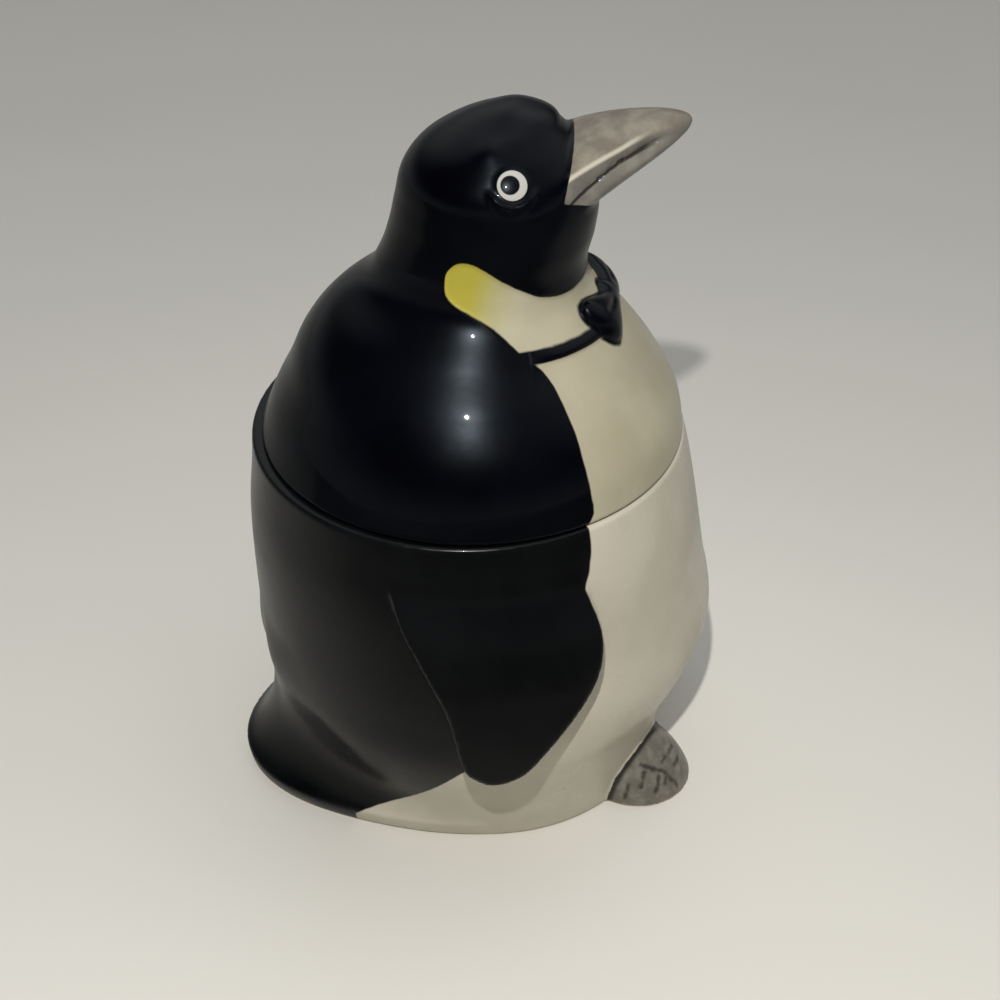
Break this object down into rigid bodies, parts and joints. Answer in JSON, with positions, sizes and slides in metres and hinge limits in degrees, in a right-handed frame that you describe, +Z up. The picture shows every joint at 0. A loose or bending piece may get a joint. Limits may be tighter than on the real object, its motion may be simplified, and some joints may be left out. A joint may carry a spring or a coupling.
{
  "type": "penguin music box",
  "caption": "Glazed ceramic penguin jar with a lift-off head-and-shoulders lid, a keepsake compartment and a wind-up comb musical movement in its foot.",
  "frame": {"origin": "on the table, under the middle of the jar", "axes": "+Z up through the head, the penguin faces -Y, its right flank is towards -X"},
  "size_m": [0.1394, 0.1374, 0.1989],
  "materials": {
    "jar_glaze": "glazed earthenware, charcoal black over ivory white, glossy",
    "lid_glaze": "glazed earthenware, blue-black over ivory white, high gloss",
    "fibre_board": "matt pressed fibre",
    "soft_rubber": "matt",
    "zinc_casting": "as cast",
    "brass": "satin",
    "plated_steel": "bright zinc plate",
    "spring_steel": "blued",
    "dark_plastic": "matt"
  },
  "bodies": {
    "case": {"jar_body": "jar_glaze", "base_plate": "fibre_board", "seal_ring": "soft_rubber", "bedplate": "zinc_casting", "movement_screw_1": "plated_steel", "movement_screw_2": "plated_steel", "movement_screw_3": "plated_steel", "click_spring": "spring_steel", "click_screw": "plated_steel", "comb": "spring_steel", "comb_screw_1": "plated_steel", "comb_screw_2": "plated_steel", "governor_bracket": "plated_steel", "bracket_screw_1": "plated_steel", "bracket_screw_2": "plated_steel", "plunger_spring": "spring_steel"},
    "cover": {"lid": "lid_glaze"},
    "key": {"winding_key": "brass", "winding_arbor": "plated_steel", "ratchet_wheel": "plated_steel"},
    "barrel": {"spring_barrel": "brass", "crown_wheel": "brass", "barrel_cover": "brass", "mainspring": "spring_steel"},
    "cylinder": {"tune_cylinder": "brass", "cylinder_arbor": "plated_steel", "cylinder_pinion": "brass", "cylinder_wheel": "brass"},
    "governor_train": {"governor_arbor": "plated_steel", "governor_pinion": "brass", "worm_wheel": "brass"},
    "governor": {"worm_shaft": "plated_steel", "governor_fan": "dark_plastic"},
    "plunger": {"stop_plunger": "brass"}
  },
  "joints": [
    {"name": "lid_lift", "type": "slide", "parent": "case", "child": "cover", "axis": [0, 0, 1], "range_m": [0, 0.12]},
    {"name": "key_wind", "type": "hinge", "parent": "case", "child": "key", "pos_m": [-0.02004, -0.005, 0.0065], "axis": [0, 0, 1], "continuous": true},
    {"name": "cylinder_turn", "type": "hinge", "parent": "case", "child": "cylinder", "pos_m": [-0.00504, -0.005, 0.03408], "axis": [1, 0, 0], "continuous": true},
    {"name": "barrel_turn", "type": "hinge", "parent": "case", "child": "barrel", "pos_m": [-0.02004, -0.005, 0.027], "axis": [0, 0, 1], "continuous": true},
    {"name": "governor_train_turn", "type": "hinge", "parent": "case", "child": "governor_train", "pos_m": [0.02174, -0.013, 0.03408], "axis": [1, 0, 0], "continuous": true},
    {"name": "governor_turn", "type": "hinge", "parent": "case", "child": "governor", "pos_m": [0.02174, -0.0195, 0.03], "axis": [0, 0, 1], "continuous": true},
    {"name": "plunger_drop", "type": "slide", "parent": "case", "child": "plunger", "axis": [0, 0, -1], "range_m": [0, 0.0024], "stiffness_N_per_m": 30, "springref_m": 0.02, "deforming": ["plunger_spring"]}
  ],
  "couplings": [
    {"joint": "barrel_turn", "follows": "cylinder_turn", "ratio": 0.26667},
    {"joint": "governor_train_turn", "follows": "cylinder_turn", "ratio": -3},
    {"joint": "governor_turn", "follows": "cylinder_turn", "ratio": -30}
  ]
}
